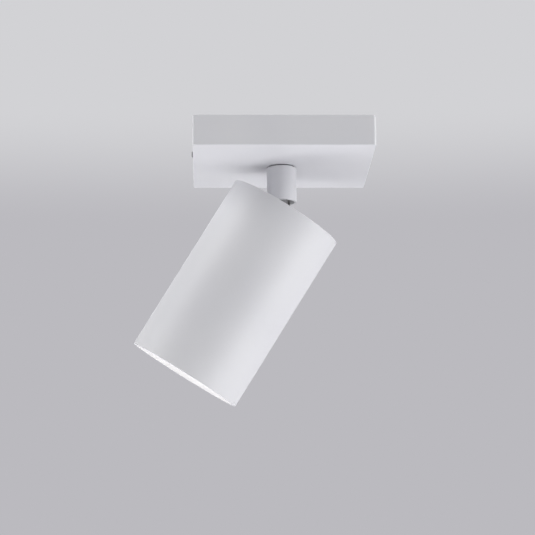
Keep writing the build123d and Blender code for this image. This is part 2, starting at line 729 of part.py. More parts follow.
def rear_cap():
    """Disc with the swivel slot: long on the side that the head tilts to."""
    far, near = slot_reach()
    far_centre = -(far + SWIVEL_GAP - slot_r)
    near_centre = near + SWIVEL_GAP - math.sqrt(slot_r**2 - plug_r**2)
    width = near_centre - far_centre
    slot = Pos((near_centre + far_centre) / 2, 0, cap_under) * SlotCenterToCenter(width, 2 * slot_r)
    cap = rod(cap_r, cap_under, head_rear) - extrude(slot, CAP_THICK)
    for y in (-yoke_screw_y(), yoke_screw_y()):
        cap -= Pos(0, y, head_rear - YOKE_SCREW_SINK / 2) * Cone(
            YOKE_SCREW_R, YOKE_SCREW_HEAD_R, YOKE_SCREW_SINK
        )
        cap -= rod(YOKE_SCREW_R, cap_under, head_rear, 0, y)
    return cap


def yoke_screw_y():
    """Middle of the yoke's flange."""
    return leg_outer + YOKE_FLANGE / 2


def tilt_yoke():
    """Bent steel hanger: flanges under the rear cap, two legs and the strap below."""
    half = YOKE_LEG_WIDTH / 2
    side = block(-half, half, leg_inner, leg_outer, strap_top, cap_under)
    side += block(-half, half, leg_inner, leg_outer + YOKE_FLANGE, cap_under - YOKE_THICK, cap_under)
    side -= rod(YOKE_SCREW_R, cap_under - YOKE_THICK, cap_under, 0, yoke_screw_y())
    strap_half = YOKE_STRAP_WIDTH / 2
    strap = block(-strap_half, strap_half, -leg_outer, leg_outer, strap_under, strap_top)
    strap = fillet(strap.edges().filter_by(Axis.Z), YOKE_CORNER_R)
    strap -= rod(YOKE_LEAD_R, strap_under, strap_top)
    strap -= rivets_of(RIVET_R, strap_under, strap_top)
    strap -= rod(YOKE_SCREW_R, strap_under, strap_top, YOKE_EARTH_X, YOKE_EARTH_Y)
    for x in (-HOLDER_SCREW_X, HOLDER_SCREW_X):
        strap -= rod(HOLDER_SCREW_R, strap_under, strap_top, x)
    return strap + both_sides(side)


def yoke_screws():
    """Countersunk screws through the rear cap into the yoke's flanges."""
    screw = sunk_screw(YOKE_SCREW_R, YOKE_SCREW_HEAD_R, YOKE_SCREW_SINK, YOKE_SCREW_LENGTH)
    return both_sides(Pos(0, yoke_screw_y(), head_rear) * screw)


# ---------------------------------------------------------------- lampholder
def lampholder_base():
    """Ceramic body: a lead well behind, a pocket for the pins in front."""
    body = rod(HOLDER_R, faceplate_rear, strap_under)
    body = chamfer(body.faces().sort_by(Axis.Z)[-1].edges(), HOLDER_EDGE)
    body -= rod(POCKET_R, faceplate_rear, pocket_rear)
    body -= rod(WELL_R, strap_under - WELL_DEPTH, strap_under)
    for core in (1, 2):
        body -= rod(CONTACT_POST_R, pocket_rear, strap_under - WELL_DEPTH, *core_offset(core))
    return body - holder_screw_holes(faceplate_rear, strap_under)


def holder_screw_holes(bottom, top):
    """Plain holes for the two lampholder screws."""
    holes = Part()
    for x in (-HOLDER_SCREW_X, HOLDER_SCREW_X):
        holes += rod(HOLDER_SCREW_R + SLIP_GAP, bottom, top, x)
    return holes


def lampholder_faceplate():
    """Front plate with two keyhole arcs that the lamp's pins twist into."""
    plate = rod(HOLDER_R, holder_front, faceplate_rear)
    neck_slot = PIN_NECK_R + SEAT_GAP
    for pin in (0, 1):
        lock = 90 + 180 * pin
        track = SlotArc(CenterArc((0, 0), PIN_CIRCLE_R, lock, -TWIST_LOCK), 2 * neck_slot)
        plate -= extrude(Pos(0, 0, holder_front) * track, FACEPLATE)
        entry = math.radians(lock - TWIST_LOCK)
        plate -= rod(
            PIN_HEAD_R + SEAT_GAP,
            holder_front,
            faceplate_rear,
            PIN_CIRCLE_R * math.cos(entry),
            PIN_CIRCLE_R * math.sin(entry),
        )
    plate -= holder_screw_holes(holder_front, faceplate_rear)
    for x in (-HOLDER_SCREW_X, HOLDER_SCREW_X):
        plate -= Pos(x, 0, holder_front + HOLDER_SCREW_SINK / 2) * Cone(
            HOLDER_SCREW_HEAD_R, HOLDER_SCREW_R, HOLDER_SCREW_SINK
        )
    return plate


def lampholder_contacts():
    """Bronze leaves over the locked pins, with posts that meet the cores in the well."""
    contacts = Part()
    for core, side in ((1, 1), (2, -1)):
        x, y = core_offset(core)
        inner, outer = sorted((side * CONTACT_INNER, side * CONTACT_OUTER))
        leaf_x = x - CONTACT_WIDTH / 2
        leaf_face = pocket_rear - CONTACT_THICK
        leaf = block(leaf_x, CONTACT_WIDTH / 2, inner, outer, leaf_face, pocket_rear)
        contacts += leaf + rod(CONTACT_POST_R, pocket_rear, strap_under - WELL_DEPTH, x, y)
    return contacts


def lampholder_screws():
    """Countersunk screws from the lamp side into the yoke's strap."""
    length = FACEPLATE + HOLDER_BASE + YOKE_THICK
    screw = sunk_screw(HOLDER_SCREW_R, HOLDER_SCREW_HEAD_R, HOLDER_SCREW_SINK, length)
    screws = Part()
    for x in (-HOLDER_SCREW_X, HOLDER_SCREW_X):
        screws += Pos(x, 0, holder_front) * Rot(180, 0, 0) * screw
    return screws


# ---------------------------------------------------------------- anti-glare ring
def anti_glare_ring():
    """Push-fit ring that hides the gap round the lamp's rim."""
    lip = lamp_front - SEAT_GAP
    skirt_top = lip + GLARE_HEIGHT - GLARE_SLOPE
    skirt_bottom = lip - GLARE_SLOPE
    inner = head_bore_r - GLARE_WALL
    profile = Polyline(
        (head_bore_r, skirt_bottom),
        (head_bore_r, skirt_top),
        (inner, skirt_top),
        (inner, lip),
        (GLARE_BORE_R, lip),
        (GLARE_BORE_R, lip - GLARE_WALL),
        (head_bore_r - GLARE_EDGE, skirt_bottom),
        close=True,
    )
    return revolve(Plane.XZ * make_face(profile), Axis.Z)


# ---------------------------------------------------------------- lamp
def lamp_outline(inset):
    """Half section of the lamp's housing, each wall moved in by inset."""
    neck_end = lamp_rear - LAMP_NECK_LENGTH
    rim_top = lamp_front + LAMP_RIM_HEIGHT
    neck_r, rim_r = LAMP_NECK_R - inset, LAMP_RIM_R - inset
    flare = Spline(
        (neck_r, neck_end),
        (rim_r, rim_top),
        tangents=[FLARE_AT_NECK, FLARE_AT_RIM],
    )
    outline = Polyline((0, lamp_front), (rim_r, lamp_front), (rim_r, rim_top))
    outline += flare
    outline += Polyline((neck_r, neck_end), (neck_r, lamp_rear - inset), (0, lamp_rear - inset))
    outline += Line((0, lamp_rear - inset), (0, lamp_front))
    return make_face(outline)


def lamp_shell():
    """Moulded lamp housing: neck, flare and rim, open at the front for the lens."""
    outer = revolve(Plane.XZ * lamp_outline(0), Axis.Z)
    inner = revolve(Plane.XZ * lamp_outline(LAMP_WALL), Axis.Z)
    shell = outer - inner
    for y in (-PIN_CIRCLE_R, PIN_CIRCLE_R):
        shell -= rod(PIN_NECK_R, lamp_rear - LAMP_WALL, lamp_rear, 0, y)
    return shell


def lamp_pins():
    """Headed contact pins, locked behind the faceplate."""
    head_front_z = faceplate_rear + SEAT_GAP
    pin = rod(PIN_NECK_R, lamp_rear - LAMP_WALL, head_front_z, 0, PIN_CIRCLE_R)
    pin += rod(PIN_HEAD_R, head_front_z, pin_tip, 0, PIN_CIRCLE_R)
    return both_sides(pin)


def lamp_driver_board():
    """Driver board standing in the neck, from the pins to the light source board."""
    top = lamp_rear - LAMP_WALL
    half = DRIVER_THICK / 2
    width = DRIVER_WIDTH / 2
    board = block(-half, half, -width, width, board_face + BOARD_THICK, top)
    coil_top = top - COIL_DROP
    coil_y0, coil_y1 = COIL_Y - COIL_SIDE / 2, COIL_Y + COIL_SIDE / 2
    board += block(half, half + COIL_HEIGHT, coil_y0, coil_y1, coil_top - COIL_SIDE, coil_top)
    capacitor_top = top - CAPACITOR_DROP
    capacitor_x = CAPACITOR_SUNK - half - CAPACITOR_R
    capacitor_end = capacitor_top - CAPACITOR_LENGTH
    return board + rod(CAPACITOR_R, capacitor_end, capacitor_top, capacitor_x, CAPACITOR_Y)


def lamp_led_board():
    """Aluminium board that carries the light source."""
    return rod(BOARD_R, board_face, board_face + BOARD_THICK)


def lamp_led_chip():
    return rod(CHIP_R, board_face - CHIP_THICK, board_face)


def lamp_reflector():
    """Bright cone from the light source to the lens."""
    top, bottom = board_face - CHIP_THICK, lamp_front + LENS_THICK
    small, large = CHIP_R + SEAT_GAP, LAMP_RIM_R - LAMP_WALL - REFLECTOR_WALL
    profile = Polyline(
        (small, board_face),
        (small, top),
        (large, bottom),
        (large + REFLECTOR_WALL, bottom),
        (small + REFLECTOR_WALL, top),
        (small + REFLECTOR_WALL, board_face),
        close=True,
    )
    return revolve(Plane.XZ * make_face(profile), Axis.Z)


def lamp_lens():
    """Frosted lens flush with the rim."""
    return rod(LAMP_RIM_R - LAMP_WALL, lamp_front, lamp_front + LENS_THICK)


# ---------------------------------------------------------------- assembly
def in_head(shape):
    return head_frame * shape


def in_joint(shape):
    """Pieces built about the tilt axis that stay with the stem."""
    return stem_frame * Pos(0, 0, pivot_z) * shape


def head_earth_screw():
    length = TAG_THICK + YOKE_THICK
    screw = pan_head_screw(YOKE_SCREW_R, YOKE_SCREW_HEAD_R, EARTH_HEAD, length)
    return Pos(YOKE_EARTH_X, YOKE_EARTH_Y, strap_top + TAG_THICK) * Rot(180, 0, 0) * screw


def head_earth_tag():
    return yoke_tag_place() * ring_tag(YOKE_SCREW_R, tag_reach(YOKE_SCREW_R, YOKE_SCREW_HEAD_R))


PIECES = {
    "canopy_cover": canopy_cover,
    "ceiling_bracket": ceiling_bracket,
    "cover_set_screws": cover_set_screws,
    "terminal_block": terminal_block,
    "terminal_clamps": terminal_clamps,
    "terminal_screws": terminal_screws,
    "terminal_block_screw": terminal_block_screw,
    "bracket_earth_screw": bracket_earth_screw,
    "bracket_earth_tag": bracket_earth_tag,
    "canopy_live_lead": lambda: canopy_lead(1, 0, LOW_RISE, LOW_CREST),
    "canopy_neutral_lead": lambda: canopy_lead(2, 1, HIGH_RISE, HIGH_CREST),
    "canopy_earth_lead": lambda: canopy_lead(0, 2, LOW_RISE, LOW_CREST, -CORE_R),
    "bracket_bond_lead": bracket_bond_lead,
    "gap_washer": lambda: stem_frame * gap_washer(),
    "stem_tube": lambda: stem_frame * stem_tube(),
    "threaded_nipple": lambda: stem_frame * threaded_nipple(),
    "pan_spring_washer": lambda: stem_frame * pan_spring_washer(),
    "pan_stop_washer": lambda: stem_frame * pan_stop_washer(),
    "nipple_nut": lambda: stem_frame * nipple_nut(),
    "swivel_fork": lambda: in_joint(swivel_fork()),
    "lead_sleeve": lead_sleeve,
    "live_lead": lambda: power_lead(1),
    "neutral_lead": lambda: power_lead(2),
    "earth_lead": earth_lead,
    "head_tube": lambda: in_head(head_tube()),
    "rear_cap": lambda: in_head(rear_cap()),
    "tilt_yoke": lambda: in_head(tilt_yoke()),
    "swivel_ears": lambda: in_head(swivel_ears()),
    "ear_rivets": lambda: in_head(ear_rivets()),
    "tilt_screws": lambda: in_head(tilt_screws()),
    "tilt_friction_washers": lambda: in_head(tilt_friction_washers()),
    "tilt_spring_washers": lambda: in_head(tilt_spring_washers()),
    "yoke_screws": lambda: in_head(yoke_screws()),
    "lampholder_base": lambda: in_head(lampholder_base()),
    "lampholder_faceplate": lambda: in_head(lampholder_faceplate()),
    "lampholder_contacts": lambda: in_head(lampholder_contacts()),
    "lampholder_screws": lambda: in_head(lampholder_screws()),
    "head_earth_screw": lambda: in_head(head_earth_screw()),
    "head_earth_tag": lambda: in_head(head_earth_tag()),
    "anti_glare_ring": lambda: in_head(anti_glare_ring()),
    "lamp_shell": lambda: in_head(lamp_shell()),
    "lamp_pins": lambda: in_head(lamp_pins()),
    "lamp_driver_board": lambda: in_head(lamp_driver_board()),
    "lamp_led_board": lambda: in_head(lamp_led_board()),
    "lamp_led_chip": lambda: in_head(lamp_led_chip()),
    "lamp_reflector": lambda: in_head(lamp_reflector()),
    "lamp_lens": lambda: in_head(lamp_lens()),
}

os.makedirs("parts", exist_ok=True)
for node, build in PIECES.items():
    export_step(build(), f"parts/{node}.step")
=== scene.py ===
import json
import math

import bmesh
import bpy
from mathutils import Matrix, Vector


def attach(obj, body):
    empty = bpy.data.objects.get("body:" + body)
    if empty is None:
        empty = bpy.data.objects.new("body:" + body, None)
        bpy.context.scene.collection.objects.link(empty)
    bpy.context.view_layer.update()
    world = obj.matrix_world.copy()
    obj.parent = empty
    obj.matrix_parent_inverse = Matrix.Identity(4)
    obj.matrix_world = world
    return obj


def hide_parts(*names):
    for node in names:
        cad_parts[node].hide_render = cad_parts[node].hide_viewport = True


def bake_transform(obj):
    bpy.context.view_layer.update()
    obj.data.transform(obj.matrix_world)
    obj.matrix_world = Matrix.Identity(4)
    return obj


# Surface mounted ceiling spotlight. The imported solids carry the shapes; this
# file dresses them in the order that the lamp goes together, from the ceiling
# down, and adds the soft and fine pieces. Metres, +Z up, ceiling at z = 0.
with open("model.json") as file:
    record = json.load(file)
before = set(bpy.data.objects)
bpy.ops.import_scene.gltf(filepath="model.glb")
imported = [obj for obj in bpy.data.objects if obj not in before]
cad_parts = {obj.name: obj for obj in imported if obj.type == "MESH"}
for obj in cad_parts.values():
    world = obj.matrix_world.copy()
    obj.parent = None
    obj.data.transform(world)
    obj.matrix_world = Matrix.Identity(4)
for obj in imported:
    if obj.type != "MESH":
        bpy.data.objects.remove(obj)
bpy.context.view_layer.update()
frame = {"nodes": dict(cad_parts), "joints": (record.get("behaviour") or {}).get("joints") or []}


# ---------------------------------------------------------------- camera
# A portrait lens about a metre in front of the lamp and a little below it,
# turned up at the canopy, as the product was photographed.
camera_x, camera_y, camera_z = -0.0364, -1.0619, -0.2806
camera_up = math.radians(11.36)
camera_right = math.radians(1.56)
camera_roll = math.radians(-0.3845)

camera = bpy.data.objects.new("camera", bpy.data.cameras.new("camera"))
bpy.context.scene.collection.objects.link(camera)
camera.data.sensor_width = 36.0
camera.data.lens = 144.67
looking = Vector((
    math.sin(camera_right) * math.cos(camera_up),
    math.cos(camera_right) * math.cos(camera_up),
    math.sin(camera_up),
))
level = Vector((math.cos(camera_right), -math.sin(camera_right), 0))
upright = level.cross(looking)
across = math.cos(camera_roll) * level + math.sin(camera_roll) * upright
above = math.cos(camera_roll) * upright - math.sin(camera_roll) * level
camera.matrix_world = Matrix((
    (across.x, above.x, -looking.x, camera_x),
    (across.y, above.y, -looking.y, camera_y),
    (across.z, above.z, -looking.z, camera_z),
    (0, 0, 0, 1),
))
bpy.context.scene.camera = camera


# ---------------------------------------------------------------- canopy cover
# Square cover pressed from sheet steel, white powder coat baked on in and out.
# It slides up over the bracket and is held by a set screw in each side.
noise_low, noise_high = 0.3, 0.7  # the band that a noise pattern seldom leaves


def shade(red, green, blue):
    """Paint colour from its 0-255 screen values."""
    scaled = [value / 255 for value in (red, green, blue)]
    linear = [v / 12.92 if v < 0.04045 else ((v + 0.055) / 1.055) ** 2.4 for v in scaled]
    return (*linear, 1.0)


def new_finish(name):
    """Blank finish, with the parts that its recipe is wired from."""
    finish = bpy.data.materials.new(name)
    finish.use_nodes = True
    nodes = finish.node_tree.nodes
    return finish, nodes, finish.node_tree.links, nodes["Principled BSDF"]


def grain(nodes, links, size_mm, detail=2.0, stretch=(1, 1, 1)):
    """Cloudy pattern in the piece's own space, its patches about size_mm across."""
    place = nodes.new("ShaderNodeTexCoord")
    pull = nodes.new("ShaderNodeMapping")
    pull.inputs["Scale"].default_value = stretch
    cloud = nodes.new("ShaderNodeTexNoise")
    cloud.inputs["Scale"].default_value = 1000 / size_mm
    cloud.inputs["Detail"].default_value = detail
    links.new(place.outputs["Object"], pull.inputs["Vector"])
    links.new(pull.outputs["Vector"], cloud.inputs["Vector"])
    return cloud.outputs["Fac"]


def tint(nodes, links, pattern, dark, pale, shader):
    """Surface colour that drifts between two paints with a pattern."""
    ramp = nodes.new("ShaderNodeValToRGB")
    ramp.color_ramp.elements[0].position = noise_low
    ramp.color_ramp.elements[0].color = dark
    ramp.color_ramp.elements[1].position = noise_high
    ramp.color_ramp.elements[1].color = pale
    links.new(pattern, ramp.inputs["Fac"])
    links.new(ramp.outputs["Color"], shader.inputs["Base Color"])


def sheen_of(nodes, links, pattern, smooth, rough, shader):
    """Roughness that runs from smooth to rough with a pattern."""
    spread = nodes.new("ShaderNodeMapRange")
    spread.inputs["From Min"].default_value = noise_low
    spread.inputs["From Max"].default_value = noise_high
    spread.inputs["To Min"].default_value = smooth
    spread.inputs["To Max"].default_value = rough
    links.new(pattern, spread.inputs["Value"])
    links.new(spread.outputs["Result"], shader.inputs["Roughness"])


def relief(nodes, links, pattern, depth_mm, shader):
    """Fine surface relief, depth_mm from its lowest to its highest."""
    bump = nodes.new("ShaderNodeBump")
    bump.inputs["Distance"].default_value = depth_mm / 1000
    links.new(pattern, bump.inputs["Height"])
    links.new(bump.outputs["Normal"], shader.inputs["Normal"])


def dress(finish, *names):
    """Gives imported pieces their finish."""
    for name in names:
        piece = frame["nodes"][name]
        piece.data.materials.clear()
        piece.data.materials.append(finish)


def powder_coat():
    """Satin white powder coat with its faint orange peel."""
    coat, nodes, links, shader = new_finish("white_powder_coat")
    peel = grain(nodes, links, size_mm=1.1, detail=3.0)
    drift = grain(nodes, links, size_mm=40.0, detail=1.0)
    tint(nodes, links, drift, shade(228, 228, 232), shade(232, 232, 235), shader)
    sheen_of(nodes, links, peel, 0.42, 0.54, shader)
    relief(nodes, links, peel, 0.012, shader)
    return coat


white_coat = powder_coat()
dress(white_coat, "canopy_cover")


# ---------------------------------------------------------------- ceiling bracket
# Strap stamped and bent from 1.5 mm steel and zinc plated. It is screwed to the
# ceiling through its two slots and carries the cover, terminals and earth screw.
def zinc_plate(name, turn=(1, 1, 1)):
    """Bright zinc over rolled steel: cold grey with faint spangle and rolling lines."""
    plate, nodes, links, shader = new_finish(name)
    spangle = grain(nodes, links, size_mm=5.0, detail=4.0)
    lines = grain(nodes, links, size_mm=0.35, detail=2.0, stretch=turn)
    tint(nodes, links, spangle, shade(176, 180, 186), shade(205, 206, 204), shader)
    sheen_of(nodes, links, lines, 0.24, 0.40, shader)
    relief(nodes, links, lines, 0.006, shader)
    shader.inputs["Metallic"].default_value = 1.0
    return plate


rolled_zinc = zinc_plate("rolled_zinc_plate", (0.08, 1, 1))
dress(rolled_zinc, "ceiling_bracket")


# ---------------------------------------------------------------- cover set screws
# Two socket set screws, turned from steel and blackened in oil. They come in
# from the sides through the cover and thread into the bracket's bent tabs.
def black_oxide():
    """Blackened steel, worn a little browner on its high spots."""
    black, nodes, links, shader = new_finish("black_oxide_steel")
    wear = grain(nodes, links, size_mm=0.8, detail=4.0)
    tint(nodes, links, wear, shade(38, 38, 41), shade(60, 58, 57), shader)
    sheen_of(nodes, links, wear, 0.36, 0.52, shader)
    relief(nodes, links, wear, 0.008, shader)
    shader.inputs["Metallic"].default_value = 0.8
    return black


dress(black_oxide(), "cover_set_screws")


# ---------------------------------------------------------------- terminal block
# Three-way screw terminal, moulded in pale glass-filled nylon, under the
# bracket's wing. One long screw between two poles holds it up.
def moulded(name, dark, pale, smooth, rough, grain_mm=0.4, depth_mm=0.006):
    """Moulded plastic: a little cloudy in colour, with the mould's fine spark texture."""
    plastic, nodes, links, shader = new_finish(name)
    cloud = grain(nodes, links, size_mm=9.0, detail=2.0)
    spark = grain(nodes, links, size_mm=grain_mm, detail=2.0)
    tint(nodes, links, cloud, dark, pale, shader)
    sheen_of(nodes, links, spark, smooth, rough, shader)
    relief(nodes, links, spark, depth_mm, shader)
    return plastic


dress(
    moulded("pale_moulding", shade(219, 218, 210), shade(228, 227, 220), smooth=0.35, rough=0.5),
    "terminal_block",
)


# ---------------------------------------------------------------- terminal clamps and screws
# Brass tubes cut from bar, tapped for two zinc plated clamp screws each; the
# block's own fixing screw is zinc plated too.
def turned_brass():
    """Plain turned brass with the lathe's fine lines and a dull, handled tone."""
    brass, nodes, links, shader = new_finish("turned_brass")
    tarnish = grain(nodes, links, size_mm=3.0, detail=3.0)
    lathe = grain(nodes, links, size_mm=0.25, detail=1.0, stretch=(1, 0.15, 1))
    tint(nodes, links, tarnish, shade(196, 160, 92), shade(222, 190, 120), shader)
    sheen_of(nodes, links, lathe, 0.22, 0.38, shader)
    relief(nodes, links, lathe, 0.005, shader)
    shader.inputs["Metallic"].default_value = 1.0
    return brass


brass = turned_brass()
small_zinc = zinc_plate("small_zinc_plate")
dress(brass, "terminal_clamps", "bracket_earth_screw")
dress(small_zinc, "terminal_screws", "terminal_block_screw")


# ---------------------------------------------------------------- earth tag on the bracket
# Ring tag pressed from copper strip and tinned, crimped on the bond lead and
# held under a brass earth screw.
def tin_plate():
    """Soft grey tin over copper, with a trace of the copper's warmth."""
    tin, nodes, links, shader = new_finish("tin_plate")
    cloud = grain(nodes, links, size_mm=1.6, detail=3.0)
    tint(nodes, links, cloud, shade(196, 192, 184), shade(214, 211, 205), shader)
    sheen_of(nodes, links, cloud, 0.28, 0.42, shader)
    relief(nodes, links, cloud, 0.006, shader)
    shader.inputs["Metallic"].default_value = 1.0
    return tin


tinned = tin_plate()
dress(tinned, "bracket_earth_tag")


# ---------------------------------------------------------------- canopy leads
# Silicone insulated cores, brown, blue and green with yellow. They bend over from the nipple into
# the block. A short bond lead joins the block to the bracket's earth tag.
core_radius = 0.85  # mm
core_sides = 20
skin_waver = 0.012  # mm that the insulation is uneven
waver_rate = 900  # radians a metre along the core
stripe_sides = 2.0
stripe_from = 0.55  # share of each side after which the stripe starts


def centre_line(points_mm):
    """Smooth line of one core through its bends, as points in metres."""
    line = bpy.data.curves.new("centre_line", "CURVE")
    line.dimensions = "3D"
    line.resolution_u = 12
    run = line.splines.new("NURBS")
    run.points.add(len(points_mm) - 1)
    for knot, (x, y, z) in zip(run.points, points_mm):
        knot.co = (x / 1000, y / 1000, z / 1000, 1)
    run.order_u = 3
    run.use_endpoint_u = True
    holder = bpy.data.objects.new("centre_line", line)
    drawn = bpy.data.meshes.new_from_object(holder)
    points = [vertex.co.copy() for vertex in drawn.vertices]
    bpy.data.objects.remove(holder)
    bpy.data.curves.remove(line)
    bpy.data.meshes.remove(drawn)
    return points


def even_steps(points, step):
    """The same line, with points about a step apart."""
    lengths = [(b - a).length for a, b in zip(points, points[1:])]
    count = max(2, round(sum(lengths) / step))
    wanted = [sum(lengths) * i / count for i in range(count + 1)]
    walked, here, stepped = 0.0, 0, []
    for distance in wanted:
        while here < len(lengths) - 1 and walked + lengths[here] < distance:
            walked += lengths[here]
            here += 1
        share = (distance - walked) / lengths[here]
        stepped.append(points[here].lerp(points[here + 1], min(share, 1.0)))
    return stepped


def piece_from(name, shape):
    """New piece in the scene, from a shape that is then let go."""
    mesh = bpy.data.meshes.new(name)
    shape.to_mesh(mesh)
    shape.free()
    piece = bpy.data.objects.new(name, mesh)
    bpy.context.scene.collection.objects.link(piece)
    return piece


def round_section_along(name, points, sides, radius_at):
    """Closed skin round a line. radius_at gives the radius from the angle and the run so far."""
    skin = bmesh.new()
    wrap = skin.loops.layers.uv.new("along_and_round")
    side = (points[1] - points[0]).normalized().orthogonal().normalized()
    rings, run = [], 0.0
    for i, here in enumerate(points):
        before, after = points[max(i - 1, 0)], points[min(i + 1, len(points) - 1)]
        heading = (after - before).normalized()
        side = (side - side.dot(heading) * heading).normalized()
        other = heading.cross(side)
        run += (here - points[i - 1]).length if i else 0.0
        ring = []
        for k in range(sides):
            angle = 2 * math.pi * k / sides
            out = math.cos(angle) * side + math.sin(angle) * other
            ring.append(skin.verts.new(here + out * radius_at(angle, run)))
        rings.append((ring, run))
    for (ring, start), (following, end) in zip(rings, rings[1:]):
        for k in range(sides):
            around = (k + 1) % sides
            face = skin.faces.new((ring[k], ring[around], following[around], following[k]))
            face.smooth = True
            corners = ((k, start), (k + 1, start), (k + 1, end), (k, end))
            for loop, (place, height) in zip(face.loops, corners):
                loop[wrap].uv = (place / sides, height)
    skin.faces.new(list(reversed(rings[0][0])))
    skin.faces.new(rings[-1][0])
    return piece_from(name, skin)


def insulated_core(name, points_mm, finish, step_mm=0.5):
    """One core: silicone skin drawn round its line, very slightly uneven in thickness."""
    def skin_radius(angle, run):
        return (core_radius + skin_waver * math.sin(waver_rate * run) * math.sin(angle)) / 1000

    line = even_steps(centre_line(points_mm), step_mm / 1000)
    core = round_section_along(name, line, core_sides, skin_radius)
    core.data.materials.append(finish)
    return core


def colour_sockets(mix):
    """The two colour inputs and the colour output of a mix that is set to colours."""
    return mix.inputs[6], mix.inputs[7], mix.outputs[2]


def silicone(name, dark, pale, stripe=None):
    """Soft-looking extruded insulation, with a stripe down two sides where it is the earth."""
    rubber, nodes, links, shader = new_finish(name)
    cloud = grain(nodes, links, size_mm=2.5, detail=2.0)
    dust = grain(nodes, links, size_mm=0.25, detail=2.0)
    tint(nodes, links, cloud, dark, pale, shader)
    sheen_of(nodes, links, dust, 0.42, 0.58, shader)
    relief(nodes, links, dust, 0.005, shader)
    if stripe:
        round_about = nodes.new("ShaderNodeUVMap")
        round_about.uv_map = "along_and_round"
        split = nodes.new("ShaderNodeSeparateXYZ")
        twice = nodes.new("ShaderNodeMath")
        twice.operation = "MULTIPLY"
        twice.inputs[1].default_value = stripe_sides
        part = nodes.new("ShaderNodeMath")
        part.operation = "FRACT"
        band = nodes.new("ShaderNodeMath")
        band.operation = "GREATER_THAN"
        band.inputs[1].default_value = stripe_from
        mix = nodes.new("ShaderNodeMix")
        mix.data_type = "RGBA"
        plain, striped, mixed = colour_sockets(mix)
        links.new(round_about.outputs["UV"], split.inputs["Vector"])
        links.new(split.outputs["X"], twice.inputs[0])
        links.new(twice.outputs[0], part.inputs[0])
        links.new(part.outputs[0], band.inputs[0])
        links.new(band.outputs[0], mix.inputs["Factor"])
        links.new(shader.inputs["Base Color"].links[0].from_socket, plain)
        striped.default_value = stripe
        links.new(mixed, shader.inputs["Base Color"])
    return rubber


brown_silicone = silicone("brown_silicone", shade(88, 52, 32), shade(104, 64, 40))
blue_silicone = silicone("blue_silicone", shade(38, 84, 158), shade(52, 100, 178))
earth_silicone = silicone(
    "green_yellow_silicone", shade(58, 124, 48), shade(72, 140, 58), stripe=shade(222, 196, 52)
)

canopy_cores = (
    ("canopy_live_core", "canopy_live_lead", "brown_lead", brown_silicone, [
        (-0.37, 0.93, -10.6), (-0.37, 0.93, -6.9), (-1.33, 3.2, -5.0),
        (-5.76, 10.2, -5.3), (-8.0, 14.4, -6.5), (-8.0, 18.0, -6.5), (-8.0, 23.0, -6.5),
    ]),
    ("canopy_neutral_core", "canopy_neutral_lead", "blue_lead", blue_silicone, [
        (-0.62, -0.78, -10.6), (-0.62, -0.78, -5.2), (-0.62, 1.82, -2.9),
        (0.0, 9.6, -3.2), (0.0, 14.6, -6.5), (0.0, 18.0, -6.5), (0.0, 23.0, -6.5),
    ]),
    ("canopy_earth_core", "canopy_earth_lead", "green_lead", earth_silicone, [
        (0.99, -0.15, -10.6), (0.99, -0.15, -6.9), (1.85, 2.2, -5.0),
        (5.15, 10.2, -5.3), (7.15, 14.4, -6.5), (7.15, 18.0, -6.5), (7.15, 23.0, -6.5),
    ]),
)
for core_name, solid, slot, finish, stops in canopy_cores:
    core = insulated_core(core_name, stops, finish, step_mm=0.25)
    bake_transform(core)
    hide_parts(solid)

bond_core = insulated_core("bracket_bond_core", [
    (14.0, -0.8, -2.9), (14.0, 2.7, -2.9), (14.0, 6.0, -3.0),
    (9.2, 13.2, -6.3), (8.85, 17.0, -6.5), (8.85, 23.0, -6.5),
], earth_silicone)
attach(bond_core, "base")
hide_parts("bracket_bond_lead")


# ---------------------------------------------------------------- stem and its washers
# Stem turned from aluminium bar and powder coated like the cover, on a thin black nylon washer;
# its black is partly painted shade, standing in for the shadow in the gap above the stem.
dress(white_coat, "stem_tube")
# The washer's black nylon is partly painted shadow: it draws the dark gap line under the cover.
dress(
    moulded("black_nylon", shade(34, 34, 36), shade(42, 42, 44), smooth=0.45, rough=0.6),
    "gap_washer",
)


# ---------------------------------------------------------------- nipple, nut and pan washers
# Zinc plated hollow nipple and hexagon nut; between them and the cover sit a
# spring steel washer that sets the drag of the pan and the keyed stop washer.
def spring_steel():
    """Dark rolled spring steel with a trace of its blue temper."""
    steel, nodes, links, shader = new_finish("spring_steel")
    temper = grain(nodes, links, size_mm=6.0, detail=3.0)
    tint(nodes, links, temper, shade(112, 114, 124), shade(142, 140, 138), shader)
    sheen_of(nodes, links, temper, 0.22, 0.36, shader)
    relief(nodes, links, temper, 0.004, shader)
    shader.inputs["Metallic"].default_value = 1.0
    return steel


sprung = spring_steel()
dress(small_zinc, "threaded_nipple", "nipple_nut", "pan_stop_washer")
dress(sprung, "pan_spring_washer")


# ---------------------------------------------------------------- swivel fork
# Zinc die casting pressed and glued into the stem: a plug with two prongs that
# take the tilt. Tumbled smooth and plated.
def shade_darkened_casting():
    """Tumbled nickel plated casting, gently uneven; its grey is darkened as painted shade under
    the stem.
    """
    casting, nodes, links, shader = new_finish("shade_darkened_casting")
    tumble = grain(nodes, links, size_mm=2.2, detail=3.0)
    fine = grain(nodes, links, size_mm=0.3, detail=2.0)
    # Painted shade: both greys sit below the plating's own, for the shade on the plug under the
    # stem.
    tint(nodes, links, tumble, shade(140, 140, 142), shade(160, 159, 158), shader)
    sheen_of(nodes, links, fine, 0.34, 0.48, shader)
    relief(nodes, links, tumble, 0.02, shader)
    shader.inputs["Metallic"].default_value = 1.0
    return casting


dress(shade_darkened_casting(), "swivel_fork")
